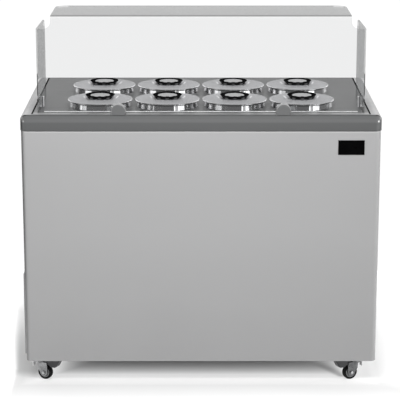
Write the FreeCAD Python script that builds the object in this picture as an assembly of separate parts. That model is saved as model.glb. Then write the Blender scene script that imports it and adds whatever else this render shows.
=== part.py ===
import FreeCAD, Part
import os
import math
from FreeCAD import Vector as V

# Ice cream display freezer: a chest on four casters with eight round wells in
# two rows of four, a lift-out tub and a loose lid in every well, and a clear
# bent guard on the customer's side.  Millimetres, +Z up, +X to the customer's
# right, -Y towards the customer.  Origin: floor level under the middle.

# ---------------------------------------------------------------- dimensions
CAB_W, CAB_D = 1200.0, 690.0          # outer shell
SHELL_Z0, SHELL_Z1 = 81.0, 887.6      # bottom and top of the shell
SHELL_T, SHELL_R = 1.2, 18.0          # sheet thickness, vertical corner radius
TOP_Z = 944.0                         # counter surface
FRAME_OVER = 2.0                      # frame stands this far proud of the shell
FRAME_R, FRAME_EDGE = 22.0, 4.5       # plan corner radius, rounded top edge at front and back
FRAME_SIDE = 21.0                     # wide rounding along the left and right top edges
RIM_X, RIM_Y = 564.0, 333.0           # half size of the rebate for the plate
LEDGE_X, LEDGE_Y = 546.0, 316.0       # half size of the frame's opening
PLATE_T = 3.0                         # top plate
PLATE_GAP_X, PLATE_GAP_Y = 4.0, 1.5   # dark joint around the plate
BEAD_Y = -293.0                       # drip bead across the plate, behind the guard
LUG_X, LUG_R, LUG_Z = 274.5, 24.3, 978.5   # round lugs let into the front rim

WELL_X = (-342.75, -114.25, 114.25, 342.75)
WELL_Y = (-182.0, 84.0)               # customer's row, server's row
WELL_HOLE_R = 101.0
COLLAR_IN_R, COLLAR_FLANGE_R = 99.2, 102.6
TUB_R, TUB_T, TUB_DEEP = 98.0, 1.2, 250.0
TUB_RIM_R = 102.2
LID_R, LID_SKIRT_R, LID_T = 110.0, 104.5, 1.0
LID_NECK_R = 101.3                    # the skirt flares from here down to its foot
LID_EDGE = 2.2                        # radius of the rolled rim
LID_TOP = TOP_Z + 23.4
LID_SEAT = TOP_Z + 0.4
KNOB_R0, KNOB_R1, KNOB_H = 37.5, 51.0, 14.6
KNOB_DISC_R = 34.0

GUARD_T = 5.0
GUARD_X = 545.0                       # outer half width of the front panel
GUARD_Y = -317.0                      # outer plane of the front panel
GUARD_TOP = TOP_Z + 326.0
GUARD_SIDE_TOP, GUARD_SIDE_DEEP = GUARD_TOP - 44.5, 280.0
GUARD_SIDE_FALL = 7.0                 # the side walls' upper edges fall towards the rear
GUARD_FLAP_X, GUARD_FLAP_DEEP = 496.0, 250.0
GUARD_BEND_R = 8.0
POST_X, POST_Y, POST_R, POST_H = 541.0, -202.0, 9.5, 35.0

TANK_X, TANK_Y0, TANK_Y1 = 475.0, -303.0, 206.0   # liner outside
TANK_Z0, TANK_T = 500.0, 1.0
FOAM_Z0 = 430.0

CASTER_XL, CASTER_XR, CASTER_Y = 557.0, 534.0, 288.0   # swivel axes, left and right
TRAIL, WHEEL_R, WHEEL_W = 20.0, 26.0, 20.0
CASTER_YAW = {"front_left": -25.0, "front_right": -155.0,
              "rear_left": 40.0, "rear_right": 155.0}

RUN = 0.05                            # radial play of a shaft in its bore
GAP = 0.3                             # free gap between moving pieces

os.makedirs("parts", exist_ok=True)


# ------------------------------------------------------------------- helpers
def box(x0, x1, y0, y1, z0, z1):
    return Part.makeBox(x1 - x0, y1 - y0, z1 - z0, V(x0, y0, z0))


def cyl(r, h, base, axis=V(0, 0, 1)):
    return Part.makeCylinder(r, h, base, axis)


def rounded(x0, x1, y0, y1, r, z0, z1):
    """Upright prism with a rounded rectangular plan."""
    s = math.sqrt(0.5)
    e = [Part.LineSegment(V(x0 + r, y0, z0), V(x1 - r, y0, z0)),
         Part.Arc(V(x1 - r, y0, z0), V(x1 - r + r * s, y0 + r - r * s, z0), V(x1, y0 + r, z0)),
         Part.LineSegment(V(x1, y0 + r, z0), V(x1, y1 - r, z0)),
         Part.Arc(V(x1, y1 - r, z0), V(x1 - r + r * s, y1 - r + r * s, z0), V(x1 - r, y1, z0)),
         Part.LineSegment(V(x1 - r, y1, z0), V(x0 + r, y1, z0)),
         Part.Arc(V(x0 + r, y1, z0), V(x0 + r - r * s, y1 - r + r * s, z0), V(x0, y1 - r, z0)),
         Part.LineSegment(V(x0, y1 - r, z0), V(x0, y0 + r, z0)),
         Part.Arc(V(x0, y0 + r, z0), V(x0 + r - r * s, y0 + r - r * s, z0), V(x0 + r, y0, z0))]
    w = Part.Wire([i.toShape() for i in e])
    return Part.Face(w).extrude(V(0, 0, z1 - z0))


def polygon(points, depth):
    w = Part.makePolygon(points + [points[0]])
    return Part.Face(w).extrude(depth)


def revolve(profile, centre=V(0, 0, 0)):
    """Solid of revolution about the upright axis; profile is (r, z) points,
    and a point may be ('arc', mid, end)."""
    edges, p = [], None
    for q in profile + [profile[0]]:
        if q[0] == "arc":
            m, n = q[1], q[2]
            edges.append(Part.Arc(V(p[0], 0, p[1]), V(m[0], 0, m[1]), V(n[0], 0, n[1])).toShape())
            p = n
        else:
            if p is not None and (abs(p[0] - q[0]) > 1e-7 or abs(p[1] - q[1]) > 1e-7):
                edges.append(Part.LineSegment(V(p[0], 0, p[1]), V(q[0], 0, q[1])).toShape())
            p = q
    s = Part.Face(Part.Wire(edges)).revolve(V(0, 0, 0), V(0, 0, 1), 360)
    s.translate(centre)
    return s


def tube(points, r, bend):
    """Round bar or pipe along straight runs joined by tangent arcs."""
    edges, last = [], points[0]
    for i in range(1, len(points) - 1):
        a, b, c = points[i - 1], points[i], points[i + 1]
        u, w = (a - b).normalize(), (c - b).normalize()
        half = u.getAngle(w) / 2.0
        t = bend / math.tan(half)
        p, q = b + u * t, b + w * t
        bis = (u + w).normalize()
        mid = b + bis * (bend / math.sin(half) - bend)
        if (p - last).Length > 1e-6:
            edges.append(Part.LineSegment(last, p).toShape())
        edges.append(Part.Arc(p, mid, q).toShape())
        last = q
    edges.append(Part.LineSegment(last, points[-1]).toShape())
    path = Part.Wire(edges)
    d = (points[1] - points[0]).normalize()
    ring = Part.Wire([Part.makeCircle(r, points[0], d)])
    return path.makePipeShell([ring], True, True)


def solids(*shapes):
    out = []
    for s in shapes:
        out.extend(s.Solids)
    return Part.makeCompound(out)


def one(shape):
    s = shape.removeSplitter()
    assert len(s.Solids) == 1, len(s.Solids)
    return s.Solids[0]


def save(name, shape):
    for s in shape.Solids:
        assert s.isValid() and s.Volume > 0, name
    shape.exportStep("parts/%s.step" % name)


# ------------------------------------------------------------------- cabinet
hx, hy = CAB_W / 2, CAB_D / 2
VENT_Y0, VENT_Y1, VENT_Z0, VENT_Z1 = -308.0, 72.0, 95.0, 384.0

shell = rounded(-hx, hx, -hy, hy, SHELL_R, SHELL_Z0, SHELL_Z1).cut(
    rounded(-hx + SHELL_T, hx - SHELL_T, -hy + SHELL_T, hy - SHELL_T, SHELL_R - SHELL_T,
            SHELL_Z0 - 1, SHELL_Z1 + 1))
shell = shell.cut(box(-570, 570, hy - 5, hy + 5, 106, 863))               # service opening
shell = shell.cut(box(-hx - 5, -hx + 5, VENT_Y0 + 18, VENT_Y1 - 18, VENT_Z0 + 18, VENT_Z1 - 18))
save("outer_shell", one(shell))

# Rear panel laid over the service opening, with two banks of stamped vents.
rear = box(-582, 582, hy, hy + 1.2, 94, 875)
CP_X0, CP_X1, CP_Z0, CP_Z1 = 250.0, 420.0, 300.0, 372.0                   # control tray
rear = rear.cut(box(CP_X0, CP_X1, hy - 5, hy + 5, CP_Z0, CP_Z1))
slots = []
for bank in (-500.0, -330.0):
    for i in range(11):
        z = 130.0 + 21.0 * i
        slots.append(box(bank, bank + 140, hy - 5, hy + 5, z, z + 7))
GLAND_X, GLAND_Z = 520.0, 150.0
slots.append(cyl(9.0, 20, V(GLAND_X, hy - 10, GLAND_Z), V(0, 1, 0)))
for x in (-574, 0, 574):
    for z in (100, 484, 869):
        slots.append(cyl(2.1, 10, V(x, hy - 4, z), V(0, 1, 0)))
rear = rear.cut(Part.makeCompound(slots))
save("rear_panel", one(rear))

# Folded base tray that carries the casters and the machine parts.
pan = box(-hx + 2, hx - 2, -hy + 2, hy - 2, SHELL_Z0, SHELL_Z0 + 2)
for r in (box(-hx + 2, -hx + 4, -hy + 20, hy - 20, SHELL_Z0, SHELL_Z0 + 22),
          box(hx - 4, hx - 2, -hy + 20, hy - 20, SHELL_Z0, SHELL_Z0 + 22),
          box(-hx + 20, hx - 20, -hy + 2, -hy + 4, SHELL_Z0, SHELL_Z0 + 22),
          box(-hx + 20, hx - 20, hy - 4, hy - 2, SHELL_Z0, SHELL_Z0 + 22)):
    pan = pan.fuse(r)
for cx in (-hx + 2, hx - 2):
    for cy in (-hy + 2, hy - 2):
        pan = pan.cut(box(cx - 18, cx + 18, cy - 18, cy + 18, SHELL_Z0 - 1, SHELL_Z0 + 30))
PLATE_HOLES = [(sx * 21, sy * 28) for sx in (-1, 1) for sy in (-1, 1)]
for bx in (-CASTER_XL, CASTER_XR):
    for sy in (-1, 1):
        for px, py in PLATE_HOLES:
            pan = pan.cut(cyl(3.3, 10, V(bx + px, sy * CASTER_Y + py, SHELL_Z0 - 4)))
save("base_pan", one(pan))

# Foamed-in insulation round the cold tank; it also fills the frame's opening.
foam = rounded(-hx + SHELL_T, hx - SHELL_T, -hy + SHELL_T, hy - SHELL_T, SHELL_R - SHELL_T,
               FOAM_Z0, SHELL_Z1)
foam = foam.fuse(box(-LEDGE_X, LEDGE_X, -LEDGE_Y, LEDGE_Y, SHELL_Z1 - 1, TOP_Z - PLATE_T))
foam = foam.cut(box(-TANK_X, TANK_X, TANK_Y0, TANK_Y1, TANK_Z0, TOP_Z))
save("insulation_foam", one(foam))

tank = rounded(-TANK_X, TANK_X, TANK_Y0, TANK_Y1, 6.0, TANK_Z0, TOP_Z - PLATE_T)
tank = tank.cut(rounded(-TANK_X + TANK_T, TANK_X - TANK_T, TANK_Y0 + TANK_T, TANK_Y1 - TANK_T, 5.0,
                        TANK_Z0 + TANK_T, TOP_Z))
save("inner_tank", one(tank))

# Evaporator: one serpentine on each long wall of the tank, buried in the foam.
coils = []
for y in (TANK_Y0 - 5.0, TANK_Y1 + 5.0):
    pts, zz = [V(-430, y, 545)], 545.0
    for i in range(7):
        end = 430 if i % 2 == 0 else -430
        pts.append(V(end, y, zz))
        if i < 6:
            zz += 50
            pts.append(V(end, y, zz))
    pts[-1] = V(pts[-1].x, y, zz)
    coils.append(tube(pts, 4.0, 20.0))
save("evaporator_coil", solids(*coils))

# ---------------------------------------------------------------- counter top
ox, oy = hx + FRAME_OVER, hy + FRAME_OVER
frame = rounded(-ox, ox, -oy, oy, FRAME_R, SHELL_Z1, TOP_Z)
# upper outline seen from the front (wide side rounding) and from the side (narrow front and rear rounding)
for half, r, turn in ((ox, FRAME_SIDE, 0), (oy, FRAME_EDGE, 90)):
    k = r * (1 - math.sqrt(0.5))
    outline = [Part.LineSegment(V(-half, 0, SHELL_Z1), V(half, 0, SHELL_Z1)), Part.LineSegment(V(half, 0, SHELL_Z1), V(half, 0, TOP_Z - r)),
               Part.Arc(V(half, 0, TOP_Z - r), V(half - k, 0, TOP_Z - k), V(half - r, 0, TOP_Z)), Part.LineSegment(V(half - r, 0, TOP_Z), V(r - half, 0, TOP_Z)),
               Part.Arc(V(r - half, 0, TOP_Z), V(k - half, 0, TOP_Z - k), V(-half, 0, TOP_Z - r)), Part.LineSegment(V(-half, 0, TOP_Z - r), V(-half, 0, SHELL_Z1))]
    bar = Part.Face(Part.Wire([e.toShape() for e in outline])).extrude(V(0, 1600, 0))
    bar.translate(V(0, -800, 0))
    bar.rotate(V(0, 0, 0), V(0, 0, 1), turn)
    frame = frame.common(bar)
frame = one(frame)
low_edges = [e for e in frame.Edges if abs(e.BoundBox.ZMin - SHELL_Z1) < 1e-6 and abs(e.BoundBox.ZMax - SHELL_Z1) < 1e-6]
frame = frame.makeFillet(2.5, low_edges)
frame = frame.cut(box(-RIM_X, RIM_X, -RIM_Y, RIM_Y, TOP_Z - PLATE_T, TOP_Z + 1))
frame = frame.cut(box(-LEDGE_X, LEDGE_X, -LEDGE_Y, LEDGE_Y, SHELL_Z1 - 1, TOP_Z + 1))
# round lugs that hold the lower edge of the guard
for sx in (-1, 1):
    lug = cyl(LUG_R, GUARD_Y - 0.2 + oy, V(sx * LUG_X, -oy, LUG_Z - LUG_R), V(0, 1, 0))
    arc = [e for e in lug.Edges if abs(e.BoundBox.YMin + oy) < 1e-6 and abs(e.BoundBox.YMax + oy) < 1e-6]
    lug = lug.makeFillet(1.5, arc)
    frame = frame.fuse(lug)
save("top_frame", one(frame))

wells = [(x, y) for y in WELL_Y for x in WELL_X]
px, py = RIM_X - PLATE_GAP_X, RIM_Y - PLATE_GAP_Y
plate = rounded(-px, px, -py, py, 3.0, TOP_Z - PLATE_T, TOP_Z)
for sx in (-1, 1):      # the plate's front edge steps round the lugs' roots
    plate = plate.cut(box(sx * LUG_X - LUG_R - 0.3, sx * LUG_X + LUG_R + 0.3, -py - 1, GUARD_Y, TOP_Z - 10, TOP_Z + 10))
# low drip bead just behind the guard
bx = GUARD_X - 20.0
bead = cyl(2.6, 2 * bx, V(-bx, BEAD_Y, TOP_Z - 0.6), V(1, 0, 0))
bead = bead.cut(box(-px, px, BEAD_Y - 10, BEAD_Y + 10, TOP_Z - 10, TOP_Z - 0.5))
plate = plate.fuse(bead)
plate = plate.cut(Part.makeCompound([cyl(WELL_HOLE_R, 20, V(x, y, TOP_Z - 10)) for x, y in wells]))
save("top_plate", one(plate))

collars = []
for x, y in wells:
    collars.append(revolve([(COLLAR_IN_R, TOP_Z - 24), (COLLAR_IN_R + 1.6, TOP_Z - 24), (COLLAR_IN_R + 1.6, TOP_Z),
                            (COLLAR_FLANGE_R, TOP_Z), (COLLAR_FLANGE_R, TOP_Z + 2.0), (COLLAR_IN_R, TOP_Z + 2.0)], V(x, y, 0)))
save("well_collars", solids(*collars))

# --------------------------------------------------------------- tubs and lids
rim_z = TOP_Z + 2.0 + GAP
tub = revolve([(0, rim_z - TUB_DEEP), (TUB_R - 8, rim_z - TUB_DEEP),
               ("arc", (TUB_R - 8 + 8 * math.sin(math.pi / 4), rim_z - TUB_DEEP + 8 - 8 * math.cos(math.pi / 4)), (TUB_R, rim_z - TUB_DEEP + 8)),
               (TUB_R, rim_z), (TUB_RIM_R, rim_z), (TUB_RIM_R, rim_z + 1.4), (TUB_R - TUB_T, rim_z + 1.4),
               (TUB_R - TUB_T, rim_z - TUB_DEEP + 8),
               ("arc", (TUB_R - 8 + (8 - TUB_T) * math.sin(math.pi / 4), rim_z - TUB_DEEP + 8 - (8 - TUB_T) * math.cos(math.pi / 4)),
                (TUB_R - 8, rim_z - TUB_DEEP + TUB_T)), (0, rim_z - TUB_DEEP + TUB_T)])

s2 = math.sqrt(0.5)
er = LID_EDGE                                      # rolled rim of the lid
z1, zd = LID_TOP - 2 * er, LID_TOP
lid = revolve([(0, LID_TOP), (LID_R - er, LID_TOP),
               ("arc", (LID_R - er + er * s2, LID_TOP - er + er * s2), (LID_R, LID_TOP - er)),
               ("arc", (LID_R - er + er * s2, LID_TOP - er - er * s2), (LID_R - er, z1)),
               (LID_NECK_R, z1), (LID_SKIRT_R, LID_SEAT), (LID_SKIRT_R - LID_T, LID_SEAT),
               (LID_NECK_R - LID_T, z1), (LID_NECK_R - LID_T, LID_TOP - 1.2), (0, LID_TOP - 1.2)])

kt = LID_TOP + KNOB_H
knob = revolve([(0, zd), (KNOB_R0 - 0.6, zd), (KNOB_R0, zd + 0.6), (KNOB_R1 - 0.5, kt - 2.0),
                ("arc", (KNOB_R1, kt - 0.9), (KNOB_R1 - 1.0, kt)), (KNOB_DISC_R + 1.5, kt), (KNOB_DISC_R, kt - 0.8),
                (KNOB_DISC_R, kt - 2.6), (0, kt - 2.6)])
disc = revolve([(0, kt - 2.6), (KNOB_DISC_R - 0.2, kt - 2.6), (KNOB_DISC_R - 0.2, kt - 1.4), (KNOB_DISC_R - 0.8, kt - 0.8), (0, kt - 0.8)])

for i, (x, y) in enumerate(wells, 1):
    for name, shape in (("tub", tub), ("lid", lid)):
        s = shape.copy()
        s.translate(V(x, y, 0))
        save("%s_%d" % (name, i), s)
    a, b = knob.copy(), disc.copy()
    a.translate(V(x, y, 0))
    b.translate(V(x, y, 0))
    save("lid_knob_%d" % i, solids(a, b))

# ----------------------------------------------------------------------- guard
# Front and side walls: one U-shaped strip, standing on the counter.
gx, gy, gt, gr = GUARD_X, GUARD_Y, GUARD_T, GUARD_BEND_R
yb = gy + GUARD_SIDE_DEEP


def u_edge(off, r):
    x, y = gx - off, gy + off
    k = r * s2
    return [V(-x, yb, TOP_Z), V(-x, y + r, TOP_Z), V(-x + r - k, y + r - k, TOP_Z), V(-x + r, y, TOP_Z),
            V(x - r, y, TOP_Z), V(x - r + k, y + r - k, TOP_Z), V(x, y + r, TOP_Z), V(x, yb, TOP_Z)]


o, n = u_edge(0, gr), u_edge(gt, gr - gt)
edges = [Part.LineSegment(o[0], o[1]), Part.Arc(o[1], o[2], o[3]), Part.LineSegment(o[3], o[4]),
         Part.Arc(o[4], o[5], o[6]), Part.LineSegment(o[6], o[7]), Part.LineSegment(o[7], n[7]),
         Part.LineSegment(n[7], n[6]), Part.Arc(n[6], n[5], n[4]), Part.LineSegment(n[4], n[3]),
         Part.Arc(n[3], n[2], n[1]), Part.LineSegment(n[1], n[0]), Part.LineSegment(n[0], o[0])]
guard = Part.Face(Part.Wire([e.toShape() for e in edges])).extrude(V(0, 0, GUARD_TOP - GUARD_BEND_R - TOP_Z))
# sides stop lower than the front, with a rounded upper rear corner
ys = gy + 30
guard = guard.cut(polygon([V(-700, ys, GUARD_SIDE_TOP), V(-700, yb, GUARD_SIDE_TOP - GUARD_SIDE_FALL), V(-700, yb, GUARD_TOP + 10),
                           V(-700, ys, GUARD_TOP + 10)], V(1400, 0, 0)))
cr = 28.0
zr = GUARD_SIDE_TOP - GUARD_SIDE_FALL * (yb - cr - ys) / (yb - ys)
cut = box(-700, 700, yb - cr, yb + 5, zr - cr, zr + 5).cut(cyl(cr, 1400, V(-700, yb - cr, zr - cr), V(1, 0, 0)))
guard = guard.cut(cut)
# concave relief where the three folds would meet
for sx in (-1, 1):
    nx = GUARD_FLAP_X
    rr = 26.5
    rz = GUARD_SIDE_TOP + rr
    relief = [Part.LineSegment(V(sx * nx, gy - 20, GUARD_TOP + 20), V(sx * nx, gy - 20, rz)).toShape(),
              Part.Arc(V(sx * nx, gy - 20, rz), V(sx * (nx + rr - rr * s2), gy - 20, rz - rr * s2),
                       V(sx * (nx + rr), gy - 20, GUARD_SIDE_TOP)).toShape(),
              Part.LineSegment(V(sx * (nx + rr), gy - 20, GUARD_SIDE_TOP), V(sx * 700, gy - 20, GUARD_SIDE_TOP)).toShape(),
              Part.LineSegment(V(sx * 700, gy - 20, GUARD_SIDE_TOP), V(sx * 700, gy - 20, GUARD_TOP + 20)).toShape(),
              Part.LineSegment(V(sx * 700, gy - 20, GUARD_TOP + 20), V(sx * nx, gy - 20, GUARD_TOP + 20)).toShape()]
    guard = guard.cut(Part.Face(Part.Wire(relief)).extrude(V(0, 60, 0)))
# top flap with its bend
tz = GUARD_TOP
q = gr * s2
qi = (gr - gt) * s2
prof = [Part.LineSegment(V(0, gy, tz - gr - 0.0), V(0, gy, tz - gr - 1.0)),
        Part.LineSegment(V(0, gy, tz - gr - 1.0), V(0, gy + gt, tz - gr - 1.0)),
        Part.LineSegment(V(0, gy + gt, tz - gr - 1.0), V(0, gy + gt, tz - gr)),
        Part.Arc(V(0, gy + gt, tz - gr), V(0, gy + gr - qi, tz - gr + qi), V(0, gy + gr, tz - gt)),
        Part.LineSegment(V(0, gy + gr, tz - gt), V(0, gy + GUARD_FLAP_DEEP, tz - gt)),
        Part.LineSegment(V(0, gy + GUARD_FLAP_DEEP, tz - gt), V(0, gy + GUARD_FLAP_DEEP, tz)),
        Part.LineSegment(V(0, gy + GUARD_FLAP_DEEP, tz), V(0, gy + gr, tz)),
        Part.Arc(V(0, gy + gr, tz), V(0, gy + gr - q, tz - gr + q), V(0, gy, tz - gr))]
flap = Part.Face(Part.Wire([e.toShape() for e in prof])).extrude(V(2 * GUARD_FLAP_X, 0, 0))
flap.translate(V(-GUARD_FLAP_X, 0, 0))
fr = 45.0
ye = gy + GUARD_FLAP_DEEP
for sx in (-1, 1):
    c = box(min(sx * GUARD_FLAP_X, sx * (GUARD_FLAP_X - fr)), max(sx * GUARD_FLAP_X, sx * (GUARD_FLAP_X - fr)),
            ye - fr, ye + 5, tz - 20, tz + 5).cut(cyl(fr, 40, V(sx * (GUARD_FLAP_X - fr), ye - fr, tz - 30)))
    flap = flap.cut(c)
guard = guard.fuse(flap)
# the side walls are notched where the posts stand
for sx in (-1, 1):
    guard = guard.cut(box(min(sx * 530, sx * 565), max(sx * 530, sx * 565), POST_Y - POST_R - 0.8, POST_Y + POST_R + 0.8,
                          TOP_Z - 1, TOP_Z + 6.3))
guard = one(guard)
save("sneeze_guard", guard)

posts, screws = [], []
for sx in (-1, 1):
    p = revolve([(0, TOP_Z), (POST_R, TOP_Z), (POST_R, TOP_Z + POST_H - 1.0), (POST_R - 1.0, TOP_Z + POST_H), (0, TOP_Z + POST_H)],
                V(sx * POST_X, POST_Y, 0))
    xa, xb = sx * (gx - gt - 0.15), sx * (gx + 0.15)
    p = p.cut(box(min(xa, xb), max(xa, xb), POST_Y - 20, POST_Y + 20, TOP_Z + 6.0, TOP_Z + 60))
    p = p.cut(cyl(2.6, 30, V(sx * (gx - 1), POST_Y, TOP_Z + 20), V(sx, 0, 0)))
    posts.append(p)
    shank = cyl(2.5, 6.0, V(sx * (gx + 0.3), POST_Y, TOP_Z + 20), V(sx, 0, 0))
    head = cyl(5.2, 5.0, V(sx * (gx + 5.9), POST_Y, TOP_Z + 20), V(sx, 0, 0))
    head = head.makeFillet(0.8, [e for e in head.Edges if abs(e.BoundBox.XMax - e.BoundBox.XMin) < 1e-6])
    screws.append(one(shank.fuse(head)))
save("guard_posts", solids(*posts))
save("guard_screws", solids(*screws))

# ------------------------------------------------------------- trim on the body
badge = box(457, 545, -hy - 1.5, -hy, 808.0, 857.5)
badge = badge.makeFillet(0.6, [e for e in badge.Edges if abs(e.BoundBox.YMin + hy + 1.5) < 1e-6 and abs(e.BoundBox.YMax + hy + 1.5) < 1e-6])
save("badge_plate", badge)

grille = box(-hx - 7, -hx, VENT_Y0, VENT_Y1, VENT_Z0, VENT_Z1)
grille = grille.makeFillet(3.0, [e for e in grille.Edges if abs(e.BoundBox.XMin + hx + 7) < 1e-6 and abs(e.BoundBox.XMax + hx + 7) < 1e-6])
louvres = []
for i in range(12):
    z = VENT_Z0 + 24 + 20.4 * i
    for y0, y1 in ((VENT_Y0 + 20, -102.0), (-94.0, VENT_Y1 - 20)):
        louvres.append(polygon([V(-hx - 10, y0, z - 3), V(-hx + 3, y0, z + 9), V(-hx + 3, y0, z + 17), V(-hx - 10, y0, z + 5)], V(0, y1 - y0, 0)))
grille = grille.cut(Part.makeCompound(louvres))
save("side_grille", one(grille))

# ------------------------------------------------------------- machine parts
FAN_Y, FAN_Z = -98.0, 232.0
cx, cy = -300.0, 60.0
dome = revolve([(0, 100), (60, 100), ("arc", (79, 108), (88, 128)), (88, 214), ("arc", (70, 248), (24, 268)), (0, 268)], V(cx, cy, 0))
foot = rounded(cx - 110, cx + 110, cy - 75, cy + 75, 14, 96, 101)
comp = dome.fuse(foot)
comp = comp.fuse(box(cx + 70, cx + 118, cy - 32, cy + 32, 150, 225))
for sx in (-1, 1):
    for sy in (-1, 1):
        comp = comp.fuse(cyl(11, 13, V(cx + sx * 92, cy + sy * 57, SHELL_Z0 + 2)))
save("compressor", one(comp))

loops = []
for x in (-572.0, -548.0):
    pts, zz = [V(x, -255, 120)], 120.0
    for i in range(8):
        end = 60 if i % 2 == 0 else -255
        pts.append(V(x, end, zz))
        if i < 7:
            zz += 30
            pts.append(V(x, end, zz))
    loops.append(tube(pts, 4.0, 12.0))
stand = [box(-580, -540, y, y + 2, 83, 345) for y in (-240.0, 42.0)]
stand = [s.cut(Part.makeCompound([cyl(4.4, 10, V(x, s.BoundBox.YMin - 4, 120.0 + 30 * i), V(0, 1, 0)) for x in (-572, -548) for i in range(8)])) for s in stand]
save("condenser_coil", solids(*(loops + stand)))

shroud = box(-522, -520, -215, 19, 83, 350).cut(cyl(96, 20, V(-530, FAN_Y, FAN_Z), V(1, 0, 0)))
ring = cyl(98, 22, V(-522, FAN_Y, FAN_Z), V(1, 0, 0)).cut(cyl(96, 40, V(-530, FAN_Y, FAN_Z), V(1, 0, 0)))
shroud = shroud.fuse(ring)
save("fan_shroud", one(shroud))

motor = cyl(32, 45, V(-478, FAN_Y, FAN_Z), V(1, 0, 0)).fuse(cyl(4, 30, V(-508, FAN_Y, FAN_Z), V(1, 0, 0)))
for dy in (-30, 26):
    motor = motor.fuse(box(-460, -440, FAN_Y + dy, FAN_Y + dy + 4, 83, FAN_Z - 8))
save("fan_motor", one(motor))

fan = cyl(24, 18, V(-509, FAN_Y, FAN_Z), V(1, 0, 0))
for i in range(5):
    blade = box(-506, -503.6, -22, 22, 18, 88)
    blade.rotate(V(-505, 0, 0), V(0, 0, 1), 28)
    edges_v = [e for e in blade.Edges if e.BoundBox.ZMin > 87]
    blade.translate(V(0, FAN_Y, FAN_Z))
    blade.rotate(V(-505, FAN_Y, FAN_Z), V(1, 0, 0), 72 * i)
    fan = fan.fuse(blade)
fan = fan.common(cyl(90, 60, V(-530, FAN_Y, FAN_Z), V(1, 0, 0)))
fan = fan.cut(cyl(4 + RUN, 60, V(-530, FAN_Y, FAN_Z), V(1, 0, 0)))
save("fan_blades", one(fan))

drier = revolve([(0, 0), (3.2, 0), (3.2, 14), ("arc", (8.5, 17), (11, 24)), (11, 104), ("arc", (8.5, 111), (3.2, 114)), (3.2, 128), (0, 128)])
drier.rotate(V(0, 0, 0), V(1, 0, 0), 72)
drier.translate(V(-150, 170, 150))
line1 = tube([V(-250, 95, 255), V(-250, 95, 330), V(-250, 215, 330), V(-250, 215, 428)], 5.0, 25.0).cut(comp)
line2 = tube([V(-340, 95, 255), V(-340, 95, 320), V(-475, 95, 320), V(-475, 95, 380)], 4.0, 22.0).cut(comp)
save("refrigerant_lines", solids(drier, one(line1), one(line2)))

# -------------------------------------------------------------------- controls
tray = box(CP_X0 + 0.3, CP_X1 - 0.3, hy - 20, hy + 1.2, CP_Z0 + 0.3, CP_Z1 - 0.3)
tray = tray.cut(box(CP_X0 + 2.3, CP_X1 - 2.3, hy - 18, hy + 5, CP_Z0 + 2.3, CP_Z1 - 2.3))
flange = box(CP_X0 - 6, CP_X1 + 6, hy + 1.2, hy + 2.0, CP_Z0 - 6, CP_Z1 + 6).cut(
    box(CP_X0 + 2.3, CP_X1 - 2.3, hy - 5, hy + 5, CP_Z0 + 2.3, CP_Z1 - 2.3))
tray = tray.fuse(flange)
CZ = (CP_Z0 + CP_Z1) / 2
SW_X, TK_X, LAMP_X = 385.0, 295.0, 342.0
FLOOR_Y = hy - 18.0
tray = tray.cut(box(SW_X - 11, SW_X + 11, hy - 30, hy, CZ - 15, CZ + 15))
tray = tray.cut(cyl(3.0 + RUN, 20, V(TK_X, hy - 30, CZ), V(0, 1, 0)))
# ears with a pin behind the tray's floor carry the rocker
AX_Y = hy - 21.0
for sx in (-1, 1):
    x0, x1 = sorted((SW_X + sx * 11.3, SW_X + sx * 14.3))
    tray = tray.fuse(box(x0, x1, AX_Y - 4.0, hy - 19.0, CZ - 4.5, CZ + 4.5))
tray = tray.fuse(cyl(1.45, 25.0, V(SW_X - 12.5, AX_Y, CZ), V(1, 0, 0)))
tray = one(tray)
lamp = cyl(4.5, 4.0, V(LAMP_X, FLOOR_Y, CZ), V(0, 1, 0))
lamp = lamp.makeFillet(1.5, [e for e in lamp.Edges if abs(e.BoundBox.YMin - FLOOR_Y - 4) < 1e-6])
save("control_panel", solids(tray, lamp))

tk = cyl(15, 12, V(TK_X, FLOOR_Y + GAP, CZ), V(0, 1, 0))
tk = tk.makeFillet(1.5, [e for e in tk.Edges if abs(e.BoundBox.YMin - FLOOR_Y - GAP - 12) < 1e-6 and abs(e.BoundBox.YMax - FLOOR_Y - GAP - 12) < 1e-6])
for i in range(18):
    a = math.radians(20 * i)
    tk = tk.cut(cyl(1.2, 20, V(TK_X + 15.5 * math.cos(a), FLOOR_Y - 2, CZ + 15.5 * math.sin(a)), V(0, 1, 0)))
tk = tk.cut(box(TK_X - 0.8, TK_X + 0.8, FLOOR_Y + 11, FLOOR_Y + 20, CZ + 5, CZ + 20))
tk = tk.fuse(cyl(3.0, 9, V(TK_X, FLOOR_Y - 8, CZ), V(0, 1, 0)))
save("thermostat_knob", one(tk))

rock = polygon([V(SW_X - 10.5, FLOOR_Y - 9, CZ - 13.5), V(SW_X - 10.5, FLOOR_Y + 3.4, CZ - 13.5), V(SW_X - 10.5, FLOOR_Y + 2.0, CZ),
                V(SW_X - 10.5, FLOOR_Y + 3.4, CZ + 13.5), V(SW_X - 10.5, FLOOR_Y - 9, CZ + 13.5)], V(21, 0, 0))
rock = rock.cut(cyl(1.45 + RUN, 30, V(SW_X - 15, AX_Y, CZ), V(1, 0, 0)))
save("power_switch", one(rock))

gland = cyl(14, 6, V(GLAND_X, hy - 9, GLAND_Z), V(0, 1, 0)).fuse(cyl(8.8, 10.6, V(GLAND_X, hy - 9, GLAND_Z), V(0, 1, 0)))
gland = gland.cut(cyl(4.0, 40, V(GLAND_X, hy - 20, GLAND_Z), V(0, 1, 0)))
save("cord_gland", one(gland))

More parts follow.
